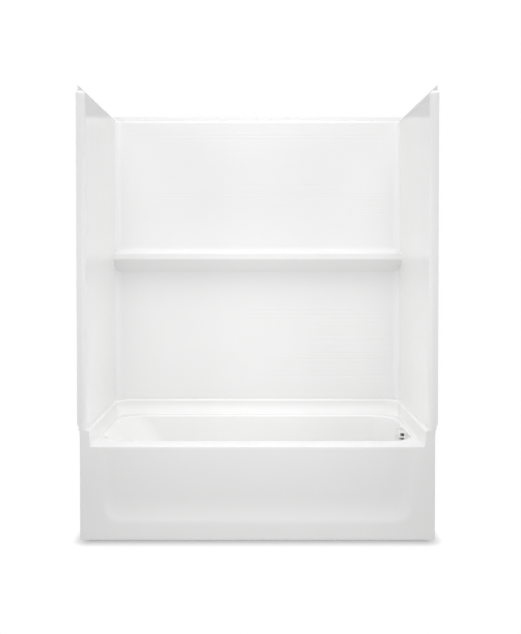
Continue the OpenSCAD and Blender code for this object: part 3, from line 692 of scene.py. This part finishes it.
def soften(piece, flats=()):
    """Shades a piece smooth, but for its folds and for the faces numbered in flats."""
    bm = bmesh.new()
    bm.from_mesh(piece.data)
    for edge in bm.edges:
        edge.smooth = edge.calc_face_angle(0) < FOLD
    for face in bm.faces:
        face.smooth = face.index not in flats
        if not face.smooth:
            for edge in face.edges:
                edge.smooth = False
    bm.to_mesh(piece.data)
    bm.free()
    weighted = piece.modifiers.new("even_flats", "WEIGHTED_NORMAL")
    weighted.keep_sharp = True
    settle(piece)


def overflow_punch():
    """A round cutter that stands square to the drain end's wall."""
    bm = bmesh.new()
    bmesh.ops.create_cone(
        bm,
        cap_ends=True,
        segments=ROUND_STEPS,
        radius1=OVER_HOLE_R,
        radius2=OVER_HOLE_R,
        depth=6 * SKIN,
    )
    bmesh.ops.rotate(bm, verts=bm.verts, matrix=over_turn)
    bmesh.ops.translate(bm, verts=bm.verts, vec=over_place)
    return object_from(bm, "overflow_punch", [])


def add_supports(piece):
    """Gives the tub's shell its flange and legs, in its second material, the backing."""
    bm = bmesh.new()
    bm.from_mesh(piece.data)
    old_faces = len(bm.faces)
    tub_supports(bm)
    bm.faces.ensure_lookup_table()
    for face in bm.faces[old_faces:]:
        face.material_index = 1
    bm.to_mesh(piece.data)
    bm.free()


gelcoat = new_finish("white_gelcoat")
gelcoat_wave = gelcoat.noise(7, 1)
gelcoat_peel = gelcoat.noise(260, 2)
gelcoat.surface(
    {
        "Base Color": gelcoat.mixed(gelcoat.noise(3, 3), (0.85, 0.85, 0.846, 1), (0.87, 0.87, 0.868, 1)),
        "Roughness": 0.09 + 0.07 * gelcoat.noise(24, 3),
        "IOR": 1.5,
        "Normal": gelcoat.bump(gelcoat_wave + 0.02 * gelcoat_peel, 0.0004),
    }
)

backing = new_finish("fibre_backing")
strands = backing.noise(90, 4, roughness=0.7, stretch=(1, 1, 0.25))
backing.surface(
    {
        "Base Color": backing.mixed(strands, (0.62, 0.60, 0.53, 1), (0.76, 0.75, 0.70, 1)),
        "Roughness": 0.5 + 0.25 * strands,
        "Normal": backing.bump(strands, 0.002, strength=0.6),
    }
)

tub = object_from(tub_skin(), "bathtub_shell", [gelcoat.owner, backing.owner])
walls = tub.modifiers.new("thickness", "SOLIDIFY")
walls.thickness = SKIN
walls.offset = -1
walls.use_even_offset = True
walls.material_offset = 1
settle(tub)

punch = overflow_punch()
hole = tub.modifiers.new("overflow_hole", "BOOLEAN")
hole.object = punch
hole.solver = "EXACT"
settle(tub)
bpy.data.objects.remove(punch)

add_supports(tub)
soften(tub)
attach(tub, "fixed_unit")
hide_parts("bathtub")


# The basin floor's slip-resistant dots: low round studs moulded in rows over the flat of the floor,
# each row set off by half a step, clear of the drain.
DOT_LEFT = -0.225
DOT_RIGHT = 0.600
DOT_FRONT = -0.160
DOT_REAR = 0.108
DOT_PITCH = 0.024
DOT_R = 0.0045
DOT_TOP_SHARE = 0.55
DOT_H = 0.0008
DOT_SUNK_SHARE = 0.2
DOT_SIDES = 12
DOT_CLEAR = 0.07


class Pattern(Tree):
    """A Geometry Nodes tree with named inputs for its sizes."""

    def __init__(self, name, sizes):
        self.tree = bpy.data.node_groups.new(name, "GeometryNodeTree")
        sockets = self.tree.interface
        sockets.new_socket("Geometry", in_out="INPUT", socket_type="NodeSocketGeometry")
        sockets.new_socket("Geometry", in_out="OUTPUT", socket_type="NodeSocketGeometry")
        self.keys = {}
        for size in sizes:
            socket = sockets.new_socket(size, in_out="INPUT", socket_type="NodeSocketFloat")
            self.keys[size] = socket.identifier

    def size(self, name):
        """One of the tree's named inputs."""
        return self.node("NodeGroupInput", output=name)

    def point(self, x, y, z):
        return self.node("ShaderNodeCombineXYZ", None, {"X": x, "Y": y, "Z": z})

    def finish(self, shape, material):
        """Ends the tree: real geometry, with its material."""
        real = self.node("GeometryNodeRealizeInstances", None, {"Geometry": shape})
        dressed = self.node(
            "GeometryNodeSetMaterial", None, {"Geometry": real, "Material": material}
        )
        self.node("NodeGroupOutput", None, {"Geometry": dressed})

    def grow(self, name, sizes):
        """A new piece that the tree makes with these sizes, as a plain mesh."""
        piece = bpy.data.objects.new(name, bpy.data.meshes.new(name))
        scene.collection.objects.link(piece)
        modifier = piece.modifiers.new("pattern", "NODES")
        modifier.node_group = self.tree
        for size, value in sizes.items():
            modifier[self.keys[size]] = value
        settle(piece)
        return piece


studs = Pattern(
    "floor_studs",
    ("Length", "Width", "Middle X", "Middle Y", "Lift", "Pitch", "Radius", "Height", "Drain X", "Clear"),
)
row_step = studs.size("Pitch") * math.sqrt(3)
rows = []
for shift in (0, 0.5):
    field = studs.node(
        "GeometryNodeMeshGrid",
        None,
        {
            "Size X": studs.size("Length"),
            "Size Y": studs.size("Width"),
            "Vertices X": 1 + studs.size("Length") / studs.size("Pitch"),
            "Vertices Y": 1 + studs.size("Width") / row_step,
        },
    )
    middle = studs.point(
        studs.size("Middle X") + shift * studs.size("Pitch"),
        studs.size("Middle Y") + shift * row_step,
        studs.size("Lift"),
    )
    rows.append(
        studs.node("GeometryNodeTransform", None, {"Geometry": field, "Translation": middle})
    )
all_rows = studs.node("GeometryNodeJoinGeometry")
for row in reversed(rows):
    join(studs.tree, row, all_rows.socket.node.inputs["Geometry"])
drain_middle = studs.point(studs.size("Drain X"), studs.size("Middle Y"), studs.size("Lift"))
gap = studs.vector(
    "DISTANCE", studs.node("GeometryNodeInputPosition"), drain_middle, output="Value"
)
clear_rows = studs.node(
    "GeometryNodeDeleteGeometry",
    {"domain": "POINT"},
    {"Geometry": all_rows, "Selection": studs.size("Clear") > gap},
)
stud = studs.node(
    "GeometryNodeMeshCone",
    {"fill_type": "NGON"},
    {
        "Vertices": DOT_SIDES,
        "Radius Top": DOT_TOP_SHARE * studs.size("Radius"),
        "Radius Bottom": studs.size("Radius"),
        "Depth": studs.size("Height"),
    },
)
studs.finish(
    studs.node("GeometryNodeInstanceOnPoints", None, {"Points": clear_rows, "Instance": stud}),
    gelcoat.owner,
)
floor_dots = studs.grow(
    "floor_dots",
    {
        "Length": DOT_RIGHT - DOT_LEFT,
        "Width": DOT_REAR - DOT_FRONT,
        "Middle X": (DOT_LEFT + DOT_RIGHT) / 2,
        "Middle Y": (DOT_FRONT + DOT_REAR) / 2,
        "Lift": FLOOR_Z - DOT_SUNK_SHARE * DOT_H,
        "Pitch": DOT_PITCH,
        "Radius": DOT_R,
        "Height": DOT_H,
        "Drain X": drain_x,
        "Clear": DOT_CLEAR,
    },
)
soften(floor_dots)
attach(floor_dots, "fixed_unit")


# The foam bed is one block of rigid polyurethane foam, cast to the underside of the basin. It
# takes the bather's weight between the basin and the floor.
foam = new_finish("rigid_foam")
cells = foam.noise(140, 3, roughness=0.65)
skin_marks = foam.noise(11, 2)
foam.surface(
    {
        "Base Color": foam.mixed(skin_marks, (0.80, 0.78, 0.70, 1), (0.88, 0.86, 0.80, 1)),
        "Roughness": 0.72 + 0.2 * cells,
        "Normal": foam.bump(cells, 0.003, strength=0.7),
    }
)


def dress(node, finish):
    """Gives a CAD node that stays as it is its material."""
    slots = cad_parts[node].data.materials
    slots.clear()
    slots.append(finish.owner)


dress("foam_bed", foam)


# The three wall panels are moulded in the same white as the bathtub, of one even skin. The back
# panel carries the hollow shelf, the fine accent lines and the two returns at its ends.

# When two corners or two flats of a CAD mesh are one, and how steep the accent lines' sides are
SAME_PLACE = 2e-6
SAME_PLANE = math.radians(0.2)
LEVEL = 0.9999
LINE_SLOPE = 0.9


def accent_sides(bm):
    """The sloping sides of the accent lines, which lie behind the plane of the panel's front."""
    fronts = [face for face in bm.faces if face.normal.y < -LEVEL]
    front_y = max(fronts, key=lambda face: face.calc_area()).calc_center_median().y
    return {
        face.index
        for face in bm.faces
        if -LEVEL < face.normal.y < -LINE_SLOPE and face.calc_center_median().y > front_y + WELD
    }


def replica(node, name, finish, body="fixed_unit", creased=None):
    """A smooth piece of the CAD node's own shape, which takes its place.

    creased finds the faces that stay flat, such as the sides of a fine groove. Faces of five corners
    and more are cut up once the normals are set, so that the cuts don't show.
    """
    bm = bmesh.new()
    bm.from_mesh(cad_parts[node].data)
    bmesh.ops.remove_doubles(bm, verts=bm.verts, dist=SAME_PLACE)
    bmesh.ops.dissolve_limit(
        bm,
        angle_limit=SAME_PLANE,
        verts=bm.verts,
        edges=bm.edges,
        use_dissolve_boundaries=False,
    )
    bm.normal_update()
    bm.faces.index_update()
    flats = creased(bm) if creased else ()
    for face in bm.faces:
        face.material_index = 0
    piece = object_from(bm, name, [finish.owner])
    soften(piece, flats)
    cut = piece.modifiers.new("triangles", "TRIANGULATE")
    cut.min_vertices = 5
    cut.keep_custom_normals = True
    settle(piece)
    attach(piece, body)
    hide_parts(node)


panel_white = new_finish("white_panel")
panel_wave = panel_white.noise(3.5, 1)
panel_peel = panel_white.noise(300, 2)
panel_white.surface(
    {
        "Base Color": panel_white.mixed(
            panel_white.noise(2, 3), (0.85, 0.85, 0.848, 1), (0.87, 0.87, 0.869, 1)
        ),
        "Roughness": 0.10 + 0.08 * panel_white.noise(19, 3),
        "IOR": 1.5,
        "Normal": panel_white.bump(panel_wave + 0.02 * panel_peel, 0.0004),
    }
)

replica("back_wall", "back_panel", panel_white, creased=accent_sides)
replica("left_end_wall", "left_end_panel", panel_white)
replica("right_end_wall", "right_end_panel", panel_white)


# The seals are strips of white silicone foam between the panels' feet and the bathtub's ledge.
white_seal = new_finish("white_silicone")
white_seal.surface(
    {
        "Base Color": white_seal.mixed(
            white_seal.noise(40, 2), (0.80, 0.80, 0.79, 1), (0.85, 0.85, 0.84, 1)
        ),
        "Roughness": 0.45 + 0.15 * white_seal.noise(120, 2),
        "Normal": white_seal.bump(white_seal.noise(220, 2), 0.0003),
    }
)
for node in ("back_seal", "left_seal", "right_seal"):
    dress(node, white_seal)


# The corner clips are bent strips of zinc-plated spring steel, pushed over the lips that join the
# end panels to the back panel.
steel = new_finish("plated_steel")
rolling = steel.noise(60, 3, roughness=0.6, stretch=(1, 1, 14))
spangle = steel.noise(35, 2)
steel.surface(
    {
        "Base Color": steel.mixed(spangle, (0.55, 0.56, 0.57, 1), (0.67, 0.67, 0.66, 1)),
        "Metallic": 1.0,
        "Roughness": 0.28 + 0.22 * rolling,
        "Normal": steel.bump(rolling, 0.0002, strength=0.5),
    }
)
for side in ("left", "right"):
    replica(side + "_corner_clips", side + "_clips", steel)


# The overflow cover is a pressed cap of brushed nickel-plated brass with slots round its rim, held
# by two screws. Its elbow, tubes and tee are white plastic, joined by nuts over rubber washers.
nickel = new_finish("brushed_nickel")
strokes = nickel.noise(420, 3, roughness=0.6, stretch=(1, 0.06, 1))
clouds = nickel.noise(30, 2)
nickel.surface(
    {
        "Base Color": nickel.mixed(clouds, (0.86, 0.855, 0.84, 1), (0.92, 0.915, 0.905, 1)),
        "Metallic": 1.0,
        "Roughness": 0.22 + 0.16 * strokes,
        "Normal": nickel.bump(strokes, 0.00012, strength=0.6),
    }
)
replica("overflow_cover", "overflow_cap", nickel)
replica("overflow_screws", "overflow_bolts", steel)

rubber = new_finish("black_rubber")
rubber.surface(
    {
        "Base Color": rubber.mixed(
            rubber.noise(50, 2), (0.025, 0.025, 0.026, 1), (0.05, 0.05, 0.05, 1)
        ),
        "Roughness": 0.62 + 0.2 * rubber.noise(200, 2),
        "Normal": rubber.bump(rubber.noise(500, 2), 0.0002, strength=0.5),
    }
)
replica("overflow_gasket", "overflow_ring", rubber)

pipe = new_finish("pipe_plastic")
flow = pipe.noise(30, 2, stretch=(1, 1, 0.2))
pipe.surface(
    {
        "Base Color": pipe.mixed(flow, (0.83, 0.82, 0.76, 1), (0.88, 0.87, 0.82, 1)),
        "Roughness": 0.30 + 0.14 * flow,
        "Normal": pipe.bump(pipe.noise(260, 2), 0.0001, strength=0.4),
    }
)
replica("overflow_elbow", "elbow", pipe)
replica("overflow_tube", "overflow_pipe", pipe)
replica("waste_tube", "waste_pipe", pipe)
replica("waste_tee", "tee", pipe)
replica("drain_shoe", "shoe", pipe)

nut_white = new_finish("nut_plastic")
nut_white.surface(
    {
        "Base Color": nut_white.mixed(
            nut_white.noise(25, 2), (0.78, 0.78, 0.76, 1), (0.84, 0.84, 0.82, 1)
        ),
        "Roughness": 0.38 + 0.12 * nut_white.noise(90, 2),
        "Normal": nut_white.bump(nut_white.noise(300, 2), 0.0002, strength=0.5),
    }
)
replica("slip_nuts", "compression_nuts", nut_white)
replica("slip_washers", "compression_washers", rubber)


# The drain is a nickel-plated brass flange, screwed through the dish into the shoe over a rubber
# gasket. The stopper lifts as its knob is turned: knob, cap and seal ride on a sleeve over a post.
replica("drain_flange", "drain_ring", nickel)
replica("drain_gasket", "drain_washer", rubber)
replica("stopper_post", "lift_post", steel)
replica("stopper_sleeve", "lift_sleeve", steel, "stopper_lifter")
replica("stopper_seal", "lift_seal", rubber, "stopper")
replica("stopper_cap", "lift_cap", nickel, "stopper")
replica("stopper_knob", "lift_knob", nickel, "stopper")
